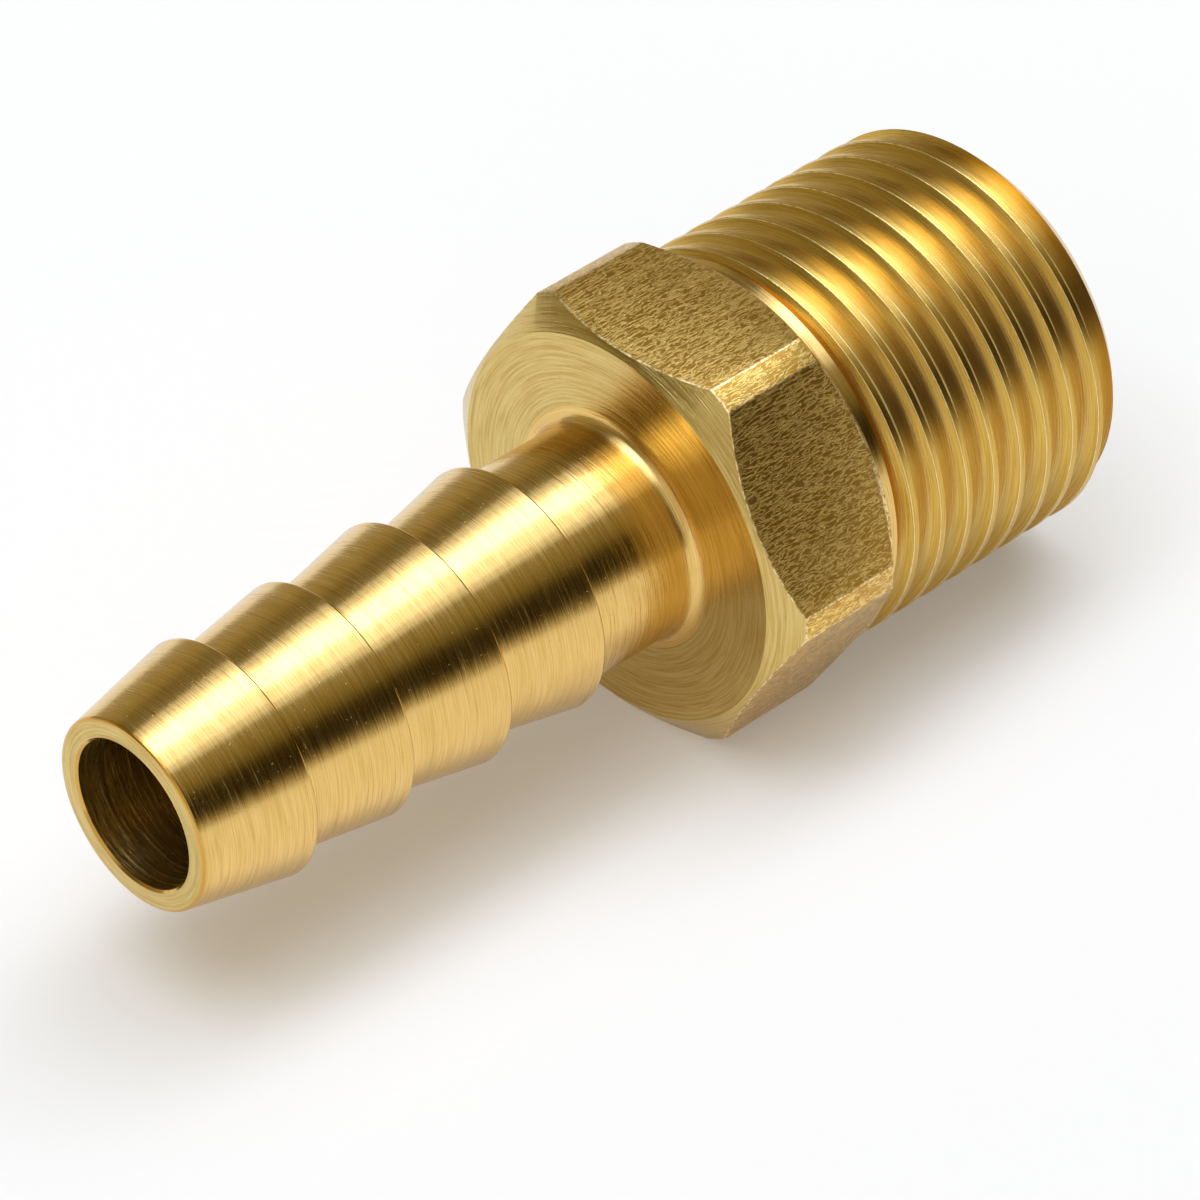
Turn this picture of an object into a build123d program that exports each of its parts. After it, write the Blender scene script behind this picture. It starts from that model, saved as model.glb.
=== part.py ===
from build123d import *
from math import ceil, radians, tan
import os

# Brass hose barb tail: one piece, turned and threaded from hexagon bar. Millimetres.
# It lies on one of its flats and on its thread. +X runs along the bore towards the thread, +Z is up,
# and the origin is on the ground under the middle of the length.

# Lengths along the bore, from the hose end
tail_length = 30.0
hex_length = 8.0
thread_length = 16.4
collar_length = 0.65

# Flow bore
bore_diameter = 7.6
tip_bore_chamfer = 0.12
end_bore_chamfer = 0.6

# Hose barbs: one crest diameter for each, from the hose end
barb_crest_diameters = [12.1, 12.1, 12.5, 12.6]
barb_pitch = 5.86
barb_root_diameter = 10.3
tip_diameter = 9.85
tip_edge_chamfer = 0.2
neck_diameter = 11.2
neck_flare_radius = 2.8

# Hexagon, its corners turned off
hex_across_flats = 20.9
hex_corner_diameter = 23.4
hex_face_diameter = 20.3
hex_chamfer_angle = 36.0
collar_diameter = 20.4

# Male pipe thread, right-hand, 14 turns to the inch
thread_diameter = 20.9
thread_pitch = 1.814
thread_depth = 1.16
thread_crest_flat = 0.34
thread_flank_angle = 27.5
thread_end_chamfer = 1.1
first_groove_distance = 0.38

# Places that follow from the sizes
hex_start = tail_length
hex_end = hex_start + hex_length
collar_end = hex_end + collar_length
total_length = hex_end + thread_length
axis_height = hex_across_flats / 2
tip = Vector(-total_length / 2, 0, axis_height)
bore_axis = Axis(tip, (1, 0, 0))

# Half sections are drawn in this plane: x is the distance from the tip, y the radius
section = Plane(origin=tip, x_dir=(1, 0, 0), z_dir=(0, -1, 0))

# A cubic curve follows a quarter circle when its handles are this share of the radius
QUARTER_ARC_HANDLE = 0.5523


def barb_corners():
    """Corners of the tail from the tip's edge to the foot of the last step."""
    corners = [(0, tip_diameter / 2)]
    for number, crest_diameter in enumerate(barb_crest_diameters, start=1):
        crest = number * barb_pitch
        is_last = number == len(barb_crest_diameters)
        foot_diameter = neck_diameter if is_last else barb_root_diameter
        corners += [(crest, crest_diameter / 2), (crest, foot_diameter / 2)]
    return corners


def flare_points():
    """The neck's quarter-circle flare into the hexagon's face, as the points of one cubic curve."""
    neck_radius = neck_diameter / 2
    handle = QUARTER_ARC_HANDLE * neck_flare_radius
    return [
        (hex_start - neck_flare_radius, neck_radius),
        (hex_start - neck_flare_radius + handle, neck_radius),
        (hex_start, neck_radius + neck_flare_radius - handle),
        (hex_start, neck_radius + neck_flare_radius),
    ]


def hex_corners():
    """Corners of the disc that the hexagon's flats are cut in, with its two chamfers."""
    rise = (hex_corner_diameter - hex_face_diameter) / 2 * tan(radians(hex_chamfer_angle))
    return [
        (hex_start, hex_face_diameter / 2),
        (hex_start + rise, hex_corner_diameter / 2),
        (hex_end - rise, hex_corner_diameter / 2),
        (hex_end, hex_face_diameter / 2),
    ]


def collar_corners():
    """Corners of the plain collar that the thread runs out against."""
    return [(hex_end, collar_diameter / 2), (collar_end, collar_diameter / 2)]


# The threaded end: a chamfered rod that starts inside the hexagon, and a helical groove
rod_start = hex_end - thread_pitch / 2
flank_slope = tan(radians(thread_flank_angle))
half_mouth = (thread_pitch - thread_crest_flat) / 2
half_root = half_mouth - thread_depth * flank_slope
above_crest = thread_crest_flat / 4
half_top = half_mouth + above_crest * flank_slope

with BuildPart() as threaded_end:
    with BuildSketch(section):
        with BuildLine():
            Polyline(
                (rod_start, 0),
                (rod_start, thread_diameter / 2),
                (total_length - thread_end_chamfer, thread_diameter / 2),
                (total_length, thread_diameter / 2 - thread_end_chamfer),
                (total_length, 0),
                close=True,
            )
        make_face()
    revolve(axis=bore_axis)

    # Each turn of the groove starts above the axis and is cut by itself.
    # Its section has straight flanks and a flat root.
    first_turn = hex_end + first_groove_distance - 2 * thread_pitch
    turns = ceil((total_length - first_turn) / thread_pitch) + 1
    for turn in range(turns):
        turn_start = tip + Vector(first_turn + turn * thread_pitch, 0, 0)
        with BuildLine():
            helix = Helix(
                pitch=thread_pitch,
                height=thread_pitch,
                radius=thread_diameter / 2,
                center=turn_start,
                direction=(1, 0, 0),
            )
        with BuildSketch(Plane(origin=helix @ 0, x_dir=(1, 0, 0), z_dir=(0, -1, 0))):
            with BuildLine():
                Polyline(
                    (-half_root, -thread_depth),
                    (-half_top, above_crest),
                    (half_top, above_crest),
                    (half_root, -thread_depth),
                    close=True,
                )
            make_face()
        sweep(is_frenet=True, mode=Mode.SUBTRACT)

with BuildPart() as hose_barb_tail:
    # Everything that the lathe turns, from the tip to the collar
    with BuildSketch(section) as outline:
        with BuildLine():
            flare = flare_points()
            Polyline((0, 0), *barb_corners(), flare[0])
            Bezier(*flare)
            Polyline(flare[-1], *hex_corners(), *collar_corners(), (collar_end, 0), (0, 0))
        make_face()
        tip_edge = outline.vertices().sort_by_distance(Vector(0, tip_diameter / 2))[0]
        chamfer(tip_edge, length=tip_edge_chamfer)
    revolve(axis=bore_axis)

    # The six flats: a ring round the hexagon, wider than its corners, is cut away
    with BuildSketch(Plane(origin=tip + Vector(hex_start, 0, 0), x_dir=(0, 1, 0), z_dir=(1, 0, 0))):
        Circle(hex_corner_diameter)
        RegularPolygon(hex_across_flats / 2, side_count=6, major_radius=False, mode=Mode.SUBTRACT)
    extrude(amount=hex_length, mode=Mode.SUBTRACT)

    add(threaded_end.part)

    # The bore, right through, with its two mouths eased
    with BuildSketch(section):
        with BuildLine():
            Polyline(
                (0, 0),
                (0, bore_diameter / 2 + tip_bore_chamfer),
                (tip_bore_chamfer, bore_diameter / 2),
                (total_length - end_bore_chamfer, bore_diameter / 2),
                (total_length, bore_diameter / 2 + end_bore_chamfer),
                (total_length, 0),
                close=True,
            )
        make_face()
    revolve(axis=bore_axis, mode=Mode.SUBTRACT)

hose_barb_tail.part.label = "hose_barb_tail"

os.makedirs("parts", exist_ok=True)
export_step(hose_barb_tail.part, "parts/hose_barb_tail.step")
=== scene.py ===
import math

import bmesh
import bpy
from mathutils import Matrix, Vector


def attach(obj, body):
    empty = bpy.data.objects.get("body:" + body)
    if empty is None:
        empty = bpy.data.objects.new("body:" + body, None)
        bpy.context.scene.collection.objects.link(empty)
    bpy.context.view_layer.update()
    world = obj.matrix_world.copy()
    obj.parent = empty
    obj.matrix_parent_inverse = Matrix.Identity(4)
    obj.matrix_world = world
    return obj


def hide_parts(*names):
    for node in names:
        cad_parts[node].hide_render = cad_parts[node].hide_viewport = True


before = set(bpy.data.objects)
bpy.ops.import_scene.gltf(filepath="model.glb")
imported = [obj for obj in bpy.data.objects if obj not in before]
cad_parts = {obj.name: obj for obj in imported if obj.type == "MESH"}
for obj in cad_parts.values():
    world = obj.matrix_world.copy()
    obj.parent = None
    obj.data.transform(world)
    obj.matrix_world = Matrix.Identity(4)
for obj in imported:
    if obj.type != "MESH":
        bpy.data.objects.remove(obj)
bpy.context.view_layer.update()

# Brass hose barb tail, turned and threaded from hexagon bar. It lies along X with its thread
# towards +X. Sizes are in millimetres, and distances are measured from the tip along the bore.
MM = 0.001
LENGTH = 54.4
AXIS_HEIGHT = 10.45

BORE_RADIUS = 3.8
TIP_BORE_CHAMFER = 0.12
END_BORE_CHAMFER = 0.6

TIP_RADIUS = 4.925
TIP_EDGE = 0.2
BARB_PITCH = 5.86
BARB_CRESTS = [6.05, 6.05, 6.25, 6.3]
BARB_ROOT = 5.15
CREST_EDGE = 0.14
# How steep the rounded edges of the tip and the crests are where they meet the barbs, in degrees
TIP_SLOPE = 6
CREST_SLOPE = 8
NECK_RADIUS = 5.6
NECK_FILLET = 0.7

HEX_START = 30.0
HEX_END = 38.0
HEX_FLAT = 10.45
HEX_CORNER = 11.7
HEX_FACE = 10.15
HEX_CHAMFER = math.radians(36)
HEX_EDGE = 0.06
COLLAR_RADIUS = 10.2
COLLAR_EDGE = 0.02
COLLAR_END = 38.65

THREAD_RADIUS = 10.45
THREAD_PITCH = 1.814
THREAD_DEPTH = 1.16
THREAD_CREST_FLAT = 0.34
THREAD_EDGE_ALONG = 0.03
THREAD_EDGE_DOWN = 0.05
THREAD_FLANK = math.radians(27.5)
THREAD_CHAMFER = 1.1
FIRST_GROOVE = 38.38

# This count leaves no slivers where the flats are cut
STEPS_AROUND = 264
STEPS_A_TURN = 200
EDGE_STEPS = 6
ROOT_STEPS = 7
FILLET_STEPS = 10

# How near points are welded in a solid and between turns of the thread, and how near a point
# counts as in a cutting plane
WELD = 0.0005
TURN_WELD = 0.002
IN_PLANE = 0.0001

# How far a cutter reaches past an end of the piece, and how far one clears the crests
PAST = 0.5
CLEAR = 1.0

# Margins for telling the surfaces of the finished piece apart
TIP_FACE = 0.001
NEAR = 0.01
MARGIN = 0.05
RIM_MARGIN = 0.1

# Edges bent more than these are rounded on the hexagon, and shaded sharp
ROUNDED_ANGLE = math.radians(15)
SHARP_ANGLE = math.radians(24)


# Shapes

def at(distance, radius):
    """The point above the bore axis at a distance from the tip."""
    return Vector(((distance - LENGTH / 2) * MM, 0, (AXIS_HEIGHT + radius) * MM))


AXIS = {"cent": at(0, 0), "axis": (1, 0, 0)}


def arc(centre, radius, start, end, steps):
    """Points of an arc in the half section, with angles in degrees from +X."""
    angles = [math.radians(start + (end - start) * step / steps) for step in range(steps + 1)]
    return [(centre[0] + radius * math.cos(a), centre[1] + radius * math.sin(a)) for a in angles]


def half_section(points):
    """A bmesh holding an open line through points of (distance, radius)."""
    bm = bmesh.new()
    verts = [bm.verts.new(at(*point)) for point in points]
    for pair in zip(verts, verts[1:]):
        bm.edges.new(pair)
    return bm


def finish_solid(bm):
    bmesh.ops.remove_doubles(bm, verts=bm.verts, dist=WELD * MM)
    bmesh.ops.recalc_face_normals(bm, faces=bm.faces)
    return bm


def turned(points):
    """A solid turned from a half section whose ends lie on the axis."""
    bm = half_section(points)
    bmesh.ops.spin(bm, geom=bm.verts[:] + bm.edges[:], angle=math.tau, steps=STEPS_AROUND,
                   use_merge=True, **AXIS)
    return finish_solid(bm)


def cut_off(bm, point, outward):
    """Cuts away what lies outward of a plane and closes the cut with one face."""
    cut = bmesh.ops.bisect_plane(bm, geom=bm.verts[:] + bm.edges[:] + bm.faces[:],
                                 dist=IN_PLANE * MM, plane_co=point, plane_no=outward,
                                 clear_outer=True)["geom_cut"]
    edges = [e for e in cut if isinstance(e, bmesh.types.BMEdge) and e.is_boundary]
    bmesh.ops.holes_fill(bm, edges=edges, sides=0)


def tail_section():
    """The turned outline from the tip to the end of the collar, edges broken as cut."""
    points = [(0, 0)]
    points += arc((TIP_EDGE, TIP_RADIUS - TIP_EDGE), TIP_EDGE, 180, 90 + TIP_SLOPE,
                  EDGE_STEPS)
    for number, crest in enumerate(BARB_CRESTS, start=1):
        distance = number * BARB_PITCH
        last = number == len(BARB_CRESTS)
        points += arc((distance - CREST_EDGE, crest - CREST_EDGE), CREST_EDGE,
                      90 + CREST_SLOPE, 0, EDGE_STEPS)
        points += [(distance, NECK_RADIUS if last else BARB_ROOT)]
    points += arc((HEX_START - NECK_FILLET, NECK_RADIUS + NECK_FILLET), NECK_FILLET, 270, 360,
                  FILLET_STEPS)
    rise = (HEX_CORNER - HEX_FACE) * math.tan(HEX_CHAMFER)
    points += [
        (HEX_START, HEX_FACE),
        (HEX_START + rise, HEX_CORNER),
        (HEX_END - rise, HEX_CORNER),
        (HEX_END, HEX_FACE),
        (HEX_END, COLLAR_RADIUS - COLLAR_EDGE),
        (HEX_END + COLLAR_EDGE, COLLAR_RADIUS),
        (COLLAR_END, COLLAR_RADIUS),
        (COLLAR_END, 0),
    ]
    return points


def thread_section():
    """One pitch of the thread from groove to groove: a full-radius root, flanks and a crest."""
    half_mouth = (THREAD_PITCH - THREAD_CREST_FLAT) / 2
    slope = math.tan(THREAD_FLANK)
    root = ((half_mouth - THREAD_DEPTH * slope)
            / (math.cos(THREAD_FLANK) - slope * (1 - math.sin(THREAD_FLANK))))
    low = THREAD_RADIUS - THREAD_DEPTH
    flank_angle = math.degrees(THREAD_FLANK)
    half = arc((0, low + root), root, 270, 360 - flank_angle, ROOT_STEPS)
    half += [
        (half_mouth - THREAD_EDGE_ALONG, THREAD_RADIUS - THREAD_EDGE_DOWN),
        (half_mouth + THREAD_EDGE_ALONG, THREAD_RADIUS),
    ]
    start = FIRST_GROOVE - 2 * THREAD_PITCH
    rising = [(start + distance, radius) for distance, radius in half]
    falling = [(start + THREAD_PITCH - distance, radius) for distance, radius in reversed(half)]
    return rising + falling


def threaded_rod():
    """The helical ridge along the whole thread: one turn, repeated a pitch further on each time.

    It starts two turns inside the hexagon and ends a turn past the end of the piece."""
    bm = half_section(thread_section())
    bmesh.ops.spin(bm, geom=bm.verts[:] + bm.edges[:], angle=math.tau, steps=STEPS_A_TURN,
                   dvec=(THREAD_PITCH * MM / STEPS_A_TURN, 0, 0), **AXIS)
    one_turn = bm.verts[:] + bm.edges[:] + bm.faces[:]
    turns = math.ceil((LENGTH - FIRST_GROOVE) / THREAD_PITCH) + 3
    for turn in range(1, turns):
        copy = bmesh.ops.duplicate(bm, geom=one_turn)["geom"]
        bmesh.ops.translate(bm, verts=[v for v in copy if isinstance(v, bmesh.types.BMVert)],
                            vec=(turn * THREAD_PITCH * MM, 0, 0))
    bmesh.ops.remove_doubles(bm, verts=bm.verts, dist=TURN_WELD * MM)
    cut_off(bm, at(HEX_END - THREAD_PITCH / 2, 0), (-1, 0, 0))
    cut_off(bm, at(LENGTH + PAST, 0), (1, 0, 0))
    return finish_solid(bm)


def as_object(bm, name):
    mesh = bpy.data.meshes.new(name)
    bm.to_mesh(mesh)
    bm.free()
    piece = bpy.data.objects.new(name, mesh)
    bpy.context.scene.collection.objects.link(piece)
    return piece


def combine(piece, operation, other):
    """Joins another solid to a piece or cuts with it, and puts the result in the piece's mesh."""
    step = piece.modifiers.new(operation, "BOOLEAN")
    step.operation = operation
    step.object = other
    step.solver = "MANIFOLD"
    graph = bpy.context.evaluated_depsgraph_get()
    result = bpy.data.meshes.new_from_object(piece.evaluated_get(graph))
    piece.modifiers.clear()
    piece.data = result
    bpy.data.objects.remove(other)


flat_angles = [math.radians(90 + 60 * side) for side in range(6)]
flats = [Vector((0, math.cos(angle), math.sin(angle))) for angle in flat_angles]

body = turned(tail_section())
for outward in flats:
    cut_off(body, at(HEX_START, 0) + outward * HEX_FLAT * MM, outward)
finish_solid(body)


def on_hexagon(vert):
    """Whether a vertex is on the hexagon, off the rim of its face and off the collar."""
    distance = vert.co.x / MM + LENGTH / 2
    radius = math.hypot(vert.co.y, vert.co.z - AXIS_HEIGHT * MM) / MM
    return HEX_START - NEAR < distance < HEX_END - MARGIN and radius > HEX_FACE + RIM_MARGIN


hexagon_edges = [edge for edge in body.edges
                 if edge.calc_face_angle(0) > ROUNDED_ANGLE and all(map(on_hexagon, edge.verts))]
bmesh.ops.bevel(body, geom=hexagon_edges, offset=HEX_EDGE * MM, offset_type="OFFSET",
                segments=2, profile=0.5, affect="EDGES", clamp_overlap=True)
tail = as_object(finish_solid(body), "turned_brass_tail")

# What the rod is trimmed to: plain sides clear of the crests, and the chamfer at the end
envelope = turned([
    (HEX_END - THREAD_PITCH / 4, 0),
    (HEX_END - THREAD_PITCH / 4, THREAD_RADIUS + CLEAR),
    (LENGTH - THREAD_CHAMFER - CLEAR, THREAD_RADIUS + CLEAR),
    (LENGTH, THREAD_RADIUS - THREAD_CHAMFER),
    (LENGTH, 0),
])
rod = as_object(threaded_rod(), "threaded_rod")
combine(rod, "INTERSECT", as_object(envelope, "envelope"))
combine(tail, "UNION", rod)

bore = turned([
    (-PAST, 0),
    (-PAST, BORE_RADIUS + TIP_BORE_CHAMFER + PAST),
    (TIP_BORE_CHAMFER, BORE_RADIUS),
    (LENGTH - END_BORE_CHAMFER, BORE_RADIUS),
    (LENGTH + PAST, BORE_RADIUS + END_BORE_CHAMFER + PAST),
    (LENGTH + PAST, 0),
])
combine(tail, "DIFFERENCE", as_object(bore, "bore"))

for polygon in tail.data.polygons:
    polygon.use_smooth = True
tail.data.set_sharp_from_angle(angle=SHARP_ANGLE)


# Finishes

def linear(hex_value):
    """An sRGB hex colour as linear red, green, blue and alpha."""
    channels = [int(hex_value[i:i + 2], 16) / 255 for i in (1, 3, 5)]
    return [c / 12.92 if c <= 0.04045 else ((c + 0.055) / 1.055) ** 2.4 for c in channels] + [1]


def add(tree, kind, settings=None, **inputs):
    """Adds a node, sets its properties and fills its inputs with values or links."""
    node = tree.nodes.new("ShaderNode" + kind)
    for name, value in (settings or {}).items():
        setattr(node, name, value)
    for name, value in inputs.items():
        key = int(name[1:]) if name[1:].isdigit() else name.replace("_", " ")
        socket = node.inputs[key]
        if isinstance(value, bpy.types.NodeSocket):
            tree.links.new(value, socket)
        else:
            socket.default_value = value
    return node


def new_material(name):
    material = bpy.data.materials.new(name)
    material.use_nodes = True
    material.node_tree.nodes.clear()
    return material, material.node_tree


def per_mm(*cell):
    """The Mapping scale that gives a noise cells of a size in millimetres."""
    return [1 / (size * MM) for size in cell]


def round_bore(tree):
    """Object coordinates, the same for patterns that run round the bore, and the radius.

    In the second, x grows by the radius too, so that rings cross the faces as well as the sides."""
    place = add(tree, "TexCoord").outputs["Object"]
    centred = add(tree, "Mapping", Vector=place, Location=(0, 0, -AXIS_HEIGHT * MM))
    parts = add(tree, "SeparateXYZ", Vector=centred.outputs[0])
    across = add(tree, "CombineXYZ", Y=parts.outputs["Y"], Z=parts.outputs["Z"])
    radius = add(tree, "VectorMath", {"operation": "LENGTH"}, Vector=across.outputs[0])
    along = add(tree, "Math", {"operation": "ADD"}, _0=parts.outputs["X"],
                _1=radius.outputs["Value"])
    rings = add(tree, "CombineXYZ", X=along.outputs[0], Y=parts.outputs["Y"], Z=parts.outputs["Z"])
    return place, rings.outputs[0], radius.outputs["Value"]


# The size of a pit in the turned surfaces, and the depth of pits and scores
SPECK = 0.13
SCORE_DEPTH = 0.005


def turned_brass(name, score, dark, light, smooth, rough, line, groove, wave):
    """Free-cutting brass off the lathe: bright, with fine rings from the tool and a few deeper
    scores, which look brown beside the bright metal.

    The roughness runs from smooth to rough. The rings are line apart and groove deep, on waves
    of a height of their own, all in mm. Real rings are about 0.05 mm apart. They are drawn up to
    three times coarser, so that they show at arm's length."""
    material, tree = new_material(name)
    place, rings, _ = round_bore(tree)
    cells = add(tree, "Mapping", Vector=rings, Scale=per_mm(line, 3, 3))
    lines = add(tree, "TexNoise", Vector=cells.outputs[0], Scale=1, Detail=3, Roughness=0.65)
    cells = add(tree, "Mapping", Vector=rings, Scale=per_mm(6 * line, 7, 7))
    bands = add(tree, "TexNoise", Vector=cells.outputs[0], Scale=1, Detail=2)
    cells = add(tree, "Mapping", Vector=rings, Scale=per_mm(1.4 * line, 4, 4), Location=(3, 5, 7))
    tears = add(tree, "TexNoise", Vector=cells.outputs[0], Scale=1, Detail=2, Roughness=0.7)
    cells = add(tree, "Mapping", Vector=place, Scale=per_mm(SPECK, SPECK, SPECK))
    specks = add(tree, "TexNoise", Vector=cells.outputs[0], Scale=1, Detail=1)

    # Scores and pits lie below the surface, more of them in some bands than in others
    scored = add(tree, "Math", {"operation": "MULTIPLY_ADD"}, _0=bands.outputs[0], _1=0.35,
                 _2=tears.outputs[0])
    scored = add(tree, "MapRange", Value=scored.outputs[0], From_Min=0.78, From_Max=0.9)
    pitted = add(tree, "MapRange", Value=specks.outputs[0], From_Min=0.74, From_Max=0.8)
    sunk = add(tree, "Math", {"operation": "MAXIMUM"}, _0=scored.outputs[0], _1=pitted.outputs[0])
    fine = add(tree, "Math", {"operation": "MULTIPLY"}, _0=lines.outputs[0], _1=groove * MM)
    broad = add(tree, "Math", {"operation": "MULTIPLY_ADD"}, _0=bands.outputs[0], _1=wave * MM,
                _2=fine.outputs[0])
    height = add(tree, "Math", {"operation": "MULTIPLY_ADD"}, _0=sunk.outputs[0],
                 _1=-SCORE_DEPTH * MM, _2=broad.outputs[0])
    bump = add(tree, "Bump", Height=height.outputs[0], Strength=1, Distance=1)

    tone = add(tree, "MapRange", Value=lines.outputs[0], From_Min=0.35, From_Max=0.62)
    clean = add(tree, "Mix", {"data_type": "RGBA"}, _0=tone.outputs[0], _6=linear(dark),
                _7=linear(light))
    marks = add(tree, "Math", {"operation": "MULTIPLY"}, _0=sunk.outputs[0], _1=0.4)
    colour = add(tree, "Mix", {"data_type": "RGBA"}, _0=marks.outputs[0], _6=clean.outputs[2],
                 _7=linear(score))
    sheen = add(tree, "MapRange", Value=lines.outputs[0], From_Min=0.3, From_Max=0.7, To_Min=smooth,
                To_Max=rough)
    shader = add(tree, "BsdfPrincipled", Base_Color=colour.outputs[2], Metallic=1,
                 Roughness=sheen.outputs[0], Normal=bump.outputs[0])
    add(tree, "OutputMaterial", Surface=shader.outputs[0])
    return material


def threaded_brass(name):
    """The thread, cut with a die: smooth flanks with faint rings, roots painted paler as painted
    light in the grooves, and crests torn a little ragged at their edges, with a painted highlight
    along those edges in ragged patches.

    The rings are drawn about twice as coarse as real, like the turned ones."""
    ring, ring_height = 0.09, 0.008
    burr, burr_height = 0.4, 0.01
    line_edge, line_core = 0.024, 0.008
    deepest = THREAD_RADIUS - 0.3
    material, tree = new_material(name)
    place, rings, radius = round_bore(tree)
    cells = add(tree, "Mapping", Vector=rings, Scale=per_mm(ring, 3, 3))
    lines = add(tree, "TexNoise", Vector=cells.outputs[0], Scale=1, Detail=3, Roughness=0.6)
    cells = add(tree, "Mapping", Vector=place, Scale=per_mm(burr, burr, burr))
    ragged = add(tree, "TexNoise", Vector=cells.outputs[0], Scale=1, Detail=4, Roughness=0.7)

    # The crests' edges are the narrow slopes between the flanks and the crests' flats
    middle = THREAD_RADIUS - THREAD_EDGE_DOWN / 2
    below = add(tree, "Math", {"operation": "SUBTRACT"}, _0=radius, _1=middle * MM)
    away = add(tree, "Math", {"operation": "ABSOLUTE"}, _0=below.outputs[0])
    edge = add(tree, "MapRange", Value=away.outputs[0], From_Min=line_edge * MM,
               From_Max=line_core * MM)
    ragged_burr_and_highlight = add(tree, "MapRange", Value=ragged.outputs[0], From_Min=0.4, From_Max=0.55, To_Min=0.4)
    crest = add(tree, "Math", {"operation": "MULTIPLY"}, _0=edge.outputs[0], _1=ragged_burr_and_highlight.outputs[0])
    fine = add(tree, "Math", {"operation": "MULTIPLY"}, _0=lines.outputs[0],
               _1=ring_height * MM)
    height = add(tree, "Math", {"operation": "MULTIPLY_ADD"}, _0=crest.outputs[0],
                 _1=burr_height * MM, _2=fine.outputs[0])
    bump = add(tree, "Bump", Height=height.outputs[0], Strength=1, Distance=1)

    # Colour deepens from the roots up: the paler roots are painted light in the grooves
    tone = add(tree, "MapRange", Value=lines.outputs[0], From_Min=0.35, From_Max=0.65)
    root = add(tree, "Mix", {"data_type": "RGBA"}, _0=tone.outputs[0], _6=linear("#DCC17E"),
               _7=linear("#EAD49C"))
    flank = add(tree, "Mix", {"data_type": "RGBA"}, _0=tone.outputs[0], _6=linear("#C49B42"),
                _7=linear("#DBB65C"))
    upper = add(tree, "MapRange", Value=radius, From_Min=(THREAD_RADIUS - THREAD_DEPTH) * MM,
                From_Max=deepest * MM)
    plain = add(tree, "Mix", {"data_type": "RGBA"}, _0=upper.outputs[0], _6=root.outputs[2],
                _7=flank.outputs[2])
    # The crests' edges are painted pale: a painted highlight, in ragged patches
    colour = add(tree, "Mix", {"data_type": "RGBA"}, _0=crest.outputs[0], _6=plain.outputs[2],
                 _7=linear("#F6E0AC"))
    shader = add(tree, "BsdfPrincipled", Base_Color=colour.outputs[2], Metallic=1, Roughness=0.25,
                 Normal=bump.outputs[0])
    add(tree, "OutputMaterial", Surface=shader.outputs[0])
    return material


def drawn_brass(name):
    """The bar's own drawn surface on the flats: short wavy ridges along the bar, as the die leaves
    them, painted lighter on the ridges and darker between them as painted glints and painted shade."""
    long, wide = 0.6, 0.14
    swell_height, ridge_height = 0.0045, 0.0032
    material, tree = new_material(name)
    place = add(tree, "TexCoord").outputs["Object"]
    cells = add(tree, "Mapping", Vector=place, Scale=per_mm(long, wide, wide))
    folds = add(tree, "TexNoise", Vector=cells.outputs[0], Scale=1, Detail=2, Roughness=0.5,
                Distortion=0.7)
    cells = add(tree, "Mapping", Vector=place, Scale=per_mm(1.5, 1, 1))
    patches = add(tree, "TexNoise", Vector=cells.outputs[0], Scale=1, Detail=2)
    level = add(tree, "Math", {"operation": "SUBTRACT"}, _0=folds.outputs[0], _1=0.5)
    away = add(tree, "Math", {"operation": "ABSOLUTE"}, _0=level.outputs[0])
    ridge = add(tree, "MapRange", {"interpolation_type": "SMOOTHSTEP"}, Value=away.outputs[0],
                From_Min=0.07, From_Max=0.0)
    swell = add(tree, "Math", {"operation": "MULTIPLY"}, _0=folds.outputs[0],
                _1=swell_height * MM)
    height = add(tree, "Math", {"operation": "MULTIPLY_ADD"}, _0=ridge.outputs[0],
                 _1=ridge_height * MM, _2=swell.outputs[0])
    bump = add(tree, "Bump", Height=height.outputs[0], Strength=1, Distance=1)
    # Painted glints on the ridges and painted shade between them, over patches of tone that differ
    # at random
    tone = add(tree, "Math", {"operation": "MULTIPLY_ADD"}, _0=patches.outputs[0], _1=0.5,
               _2=ridge.outputs[0])
    share = add(tree, "MapRange", Value=tone.outputs[0], From_Min=0.15, From_Max=1.2)
    colour = add(tree, "Mix", {"data_type": "RGBA"}, _0=share.outputs[0], _6=linear("#BA8C36"),
                 _7=linear("#FAD782"))
    shader = add(tree, "BsdfPrincipled", Base_Color=colour.outputs[2], Metallic=1, Roughness=0.29,
                 Normal=bump.outputs[0])
    add(tree, "OutputMaterial", Surface=shader.outputs[0])
    return material


def edge_brass_painted_highlight(name):
    """The hexagon's edges, turned up in a fine burr, with a painted highlight along them in ragged
    patches.

    The burr is drawn two or three times as coarse as real, so that it shows."""
    burr, burr_height = 0.3, 0.03
    material, tree = new_material(name)
    place = add(tree, "TexCoord").outputs["Object"]
    cells = add(tree, "Mapping", Vector=place, Scale=per_mm(burr, burr, burr))
    ragged = add(tree, "TexNoise", Vector=cells.outputs[0], Scale=1, Detail=4, Roughness=0.7)
    height = add(tree, "Math", {"operation": "MULTIPLY"}, _0=ragged.outputs[0],
                 _1=burr_height * MM)
    bump = add(tree, "Bump", Height=height.outputs[0], Strength=1, Distance=1)
    # The edges are painted pale in ragged patches: a painted highlight
    painted_highlight_patches = add(tree, "MapRange", Value=ragged.outputs[0], From_Min=0.42, From_Max=0.55)
    colour = add(tree, "Mix", {"data_type": "RGBA"}, _0=painted_highlight_patches.outputs[0], _6=linear("#B98F45"),
                 _7=linear("#F8E0A6"))
    shader = add(tree, "BsdfPrincipled", Base_Color=colour.outputs[2], Metallic=1, Roughness=0.35,
                 Normal=bump.outputs[0])
    add(tree, "OutputMaterial", Surface=shader.outputs[0])
    return material


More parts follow.
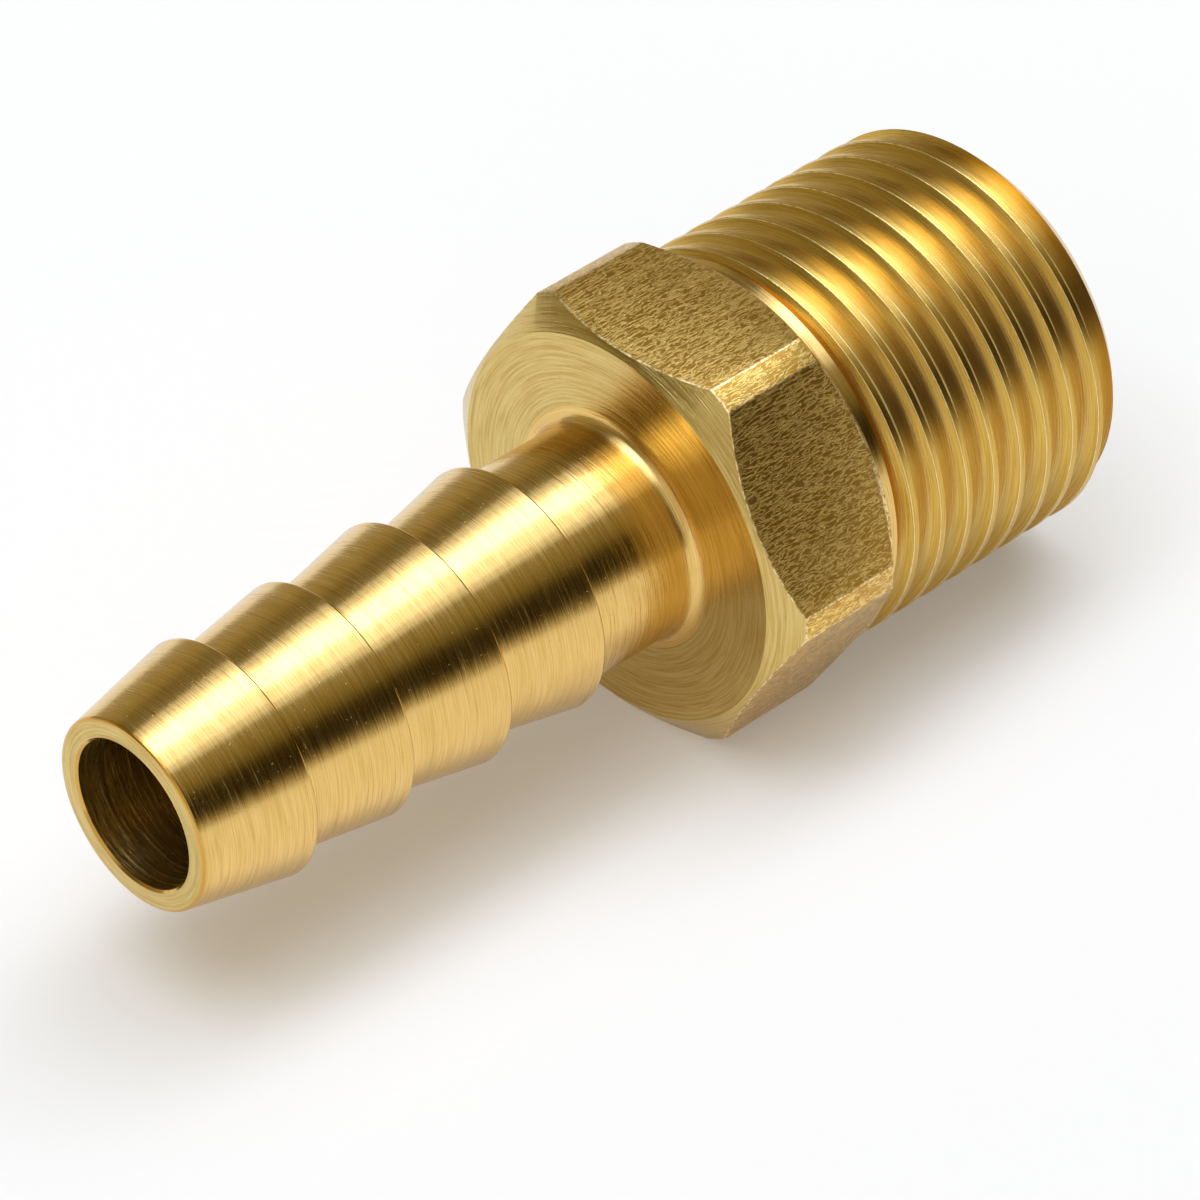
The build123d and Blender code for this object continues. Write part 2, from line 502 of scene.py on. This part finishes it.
finishes = [
    turned_brass("turned_brass", "#B98A3C", "#DAB263", "#ECC87D",
                 smooth=0.12, rough=0.22, line=0.08, groove=0.008, wave=0.014),
    turned_brass("faced_brass", "#A2792E", "#C2A257", "#DAC07A",
                 smooth=0.16, rough=0.27, line=0.12, groove=0.013, wave=0.02),
    drawn_brass("drawn_brass"),
    threaded_brass("threaded_brass"),
    turned_brass("bored_brass", "#B39044", "#D4B867", "#ECD288",
                 smooth=0.2, rough=0.32, line=0.15, groove=0.035, wave=0.02),
    edge_brass_painted_highlight("edge_brass_painted_highlight"),
    # The barbs' crests, the tip's rims and the bore's mouth: smooth, and painted darker and deeper
    # gold than the turned brass, a painted line of shade along them
    turned_brass("polished_brass_painted_shade", "#C0903E", "#CD9D47", "#DCB05C",
                 smooth=0.1, rough=0.16, line=0.09, groove=0.002, wave=0.005),
]
tail.data.materials.clear()
for finish in finishes:
    tail.data.materials.append(finish)

TURNED, FACED, DRAWN, THREADED, BORED, EDGE_PAINTED_HIGHLIGHT, POLISHED_PAINTED_SHADE = range(len(finishes))


def on_rounded_edge(distance, radius, normal):
    """Whether a place is on a barb's crest, on a rim of the tip or on the mouth of the bore."""
    if TIP_FACE < distance < TIP_EDGE:
        return radius > TIP_RADIUS - TIP_EDGE or radius < BORE_RADIUS + TIP_BORE_CHAMFER + MARGIN
    return any(
        BARB_PITCH * number - CREST_EDGE < distance < BARB_PITCH * number + NEAR
        and radius > crest - CREST_EDGE and normal.x > 0.1
        for number, crest in enumerate(BARB_CRESTS, start=1)
    )


def hexagon_slot(radius, outward, normal):
    """The finish on the hexagon: flats and corners as drawn, ends as faced, edges with a painted
    highlight.

    The bounds are cosines, between the way a surface faces and the way it should."""
    facing_out = normal.dot(outward.normalized())
    if max(normal.dot(flat) for flat in flats) > 0.9999:
        return DRAWN
    if radius > HEX_CORNER - MARGIN and facing_out > 0.998:
        return DRAWN
    on_chamfer = (abs(abs(normal.x) - math.cos(HEX_CHAMFER)) < 0.01
                  and facing_out > math.sin(HEX_CHAMFER) - 0.01)
    if on_chamfer or abs(normal.x) > 0.999:
        return FACED
    return EDGE_PAINTED_HIGHLIGHT


for polygon in tail.data.polygons:
    centre = polygon.center / MM
    distance = centre.x + LENGTH / 2
    outward = Vector((0, centre.y, centre.z - AXIS_HEIGHT))
    radius = outward.length

    # The thread's end face and the mouth of the bore aren't threaded
    on_thread = polygon.normal.x < 0.9 and radius > BORE_RADIUS + CLEAR
    slot = TURNED
    if distance > TIP_BORE_CHAMFER and radius < BORE_RADIUS + MARGIN:
        slot = BORED
    elif on_rounded_edge(distance, radius, polygon.normal):
        slot = POLISHED_PAINTED_SHADE
    elif distance > COLLAR_END + NEAR and on_thread:
        slot = THREADED
    elif HEX_START - NEAR < distance < HEX_END and radius > NECK_RADIUS + NECK_FILLET:
        slot = hexagon_slot(radius, outward, polygon.normal)
    elif distance > LENGTH - NEAR or distance < TIP_FACE:
        slot = FACED
    polygon.material_index = slot

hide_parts("hose_barb_tail")
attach(tail, "root")


# Studio

# The floor is white paper. To the camera and in reflections it has a little white of its own,
# which lifts it to the white of the background.
FLOOR_REACH = 3.0
GLOW = 0.18

sheet = bmesh.new()
bmesh.ops.create_grid(sheet, x_segments=1, y_segments=1, size=FLOOR_REACH)
floor = as_object(sheet, "floor")
material, tree = new_material("white_paper")
path = add(tree, "LightPath")
seen = add(tree, "Math", {"operation": "MAXIMUM"}, _0=path.outputs["Is Camera Ray"],
           _1=path.outputs["Is Glossy Ray"])
paper = add(tree, "BsdfDiffuse", Color=linear("#FDF9F0"))
glow = add(tree, "Emission", Color=linear("#FFFFFF"), Strength=1)
share = add(tree, "Math", {"operation": "MULTIPLY"}, _0=seen.outputs[0], _1=GLOW)
lit = add(tree, "MixShader", _0=share.outputs[0], _1=paper.outputs[0], _2=glow.outputs[0])
add(tree, "OutputMaterial", Surface=lit.outputs[0])
floor.data.materials.append(material)

# The room: warm and dark on the near side, mid grey behind, and pale at the near left. The
# direction is measured round the bore axis, from 0 level behind the tail, over the top, to 1
# level in front of it.
world = bpy.data.worlds.new("studio_room")
world.use_nodes = True
tree = world.node_tree
tree.nodes.clear()
place = add(tree, "TexCoord")
parts = add(tree, "SeparateXYZ", Vector=place.outputs["Generated"])
over = add(tree, "Math", {"operation": "ARCTAN2"}, _0=parts.outputs["Z"], _1=parts.outputs["Y"])
turn = add(tree, "Math", {"operation": "DIVIDE"}, _0=over.outputs[0], _1=math.pi)
ramp = add(tree, "ValToRGB", _0=turn.outputs[0])
stops = [
    (0.0, "#B1ADA6"),
    (0.06, "#AAA189"),
    (0.12, "#A69B76"),
    (0.18, "#978B65"),
    (0.22, "#7C7355"),
    (0.33, "#7C7661"),
    (0.61, "#7C7661"),
    (0.68, "#9A9172"),
    (0.73, "#8A8058"),
    (0.78, "#6F653F"),
    (0.81, "#453C22"),
    (0.85, "#302A16"),
    (0.92, "#302A16"),
    (0.955, "#6A6046"),
    (1.0, "#D0C7AC"),
]
elements = ramp.color_ramp.elements
while len(elements) < len(stops):
    elements.new(0.5)
for element, (position, colour) in zip(elements, stops):
    element.position = position
    element.color = linear(colour)
ahead = add(tree, "MapRange", Value=parts.outputs["X"], From_Min=-0.1, From_Max=-0.4)
near = add(tree, "MapRange", Value=parts.outputs["Y"], From_Min=0.3, From_Max=0.0)
corner = add(tree, "Math", {"operation": "MULTIPLY"}, _0=ahead.outputs[0], _1=near.outputs[0])
room = add(tree, "Mix", {"data_type": "RGBA"}, _0=corner.outputs[0], _6=ramp.outputs[0],
           _7=linear("#D8D3C8"))
background = add(tree, "Background", Color=room.outputs[2], Strength=1)
add(tree, "OutputWorld", Surface=background.outputs[0])
bpy.context.scene.world = world


def soft_box(name, centre, width, depth, radiance):
    """A level rectangular lamp that shows the same brightness from anywhere under it."""
    light = bpy.data.lights.new(name, "AREA")
    light.shape = "RECTANGLE"
    light.size = width
    light.size_y = depth
    light.energy = radiance * math.pi * width * depth
    light.color = linear("#DFE9FF")[:3]
    lamp = bpy.data.objects.new(name, light)
    lamp.location = centre
    bpy.context.scene.collection.objects.link(lamp)


# The strip box hangs over the tail, long along the bore. Its cloth is brightest in the middle
# and dim at its edges.
soft_box("strip_box_edge", (0.1, 0.05, 0.92), width=1.9, depth=1.0, radiance=0.92)
soft_box("strip_box_cloth", (0.1, 0.035, 0.91), width=1.7, depth=0.69, radiance=0.9)
soft_box("strip_box_middle", (0.1, 0.1, 0.9), width=1.5, depth=0.32, radiance=2.5)

# A long lens, from above the near side of the tip
camera_data = bpy.data.cameras.new("camera")
camera_data.sensor_width = 36
camera_data.lens = 202.81
camera = bpy.data.objects.new("camera", camera_data)
camera.location = (-0.170807, -0.179949, 0.208294)
looking = Vector((0.53837, 0.56103, -0.6288))
camera.rotation_euler = looking.to_track_quat("-Z", "Y").to_euler()
bpy.context.scene.collection.objects.link(camera)
bpy.context.scene.camera = camera
bpy.context.scene.view_settings.view_transform = "Standard"
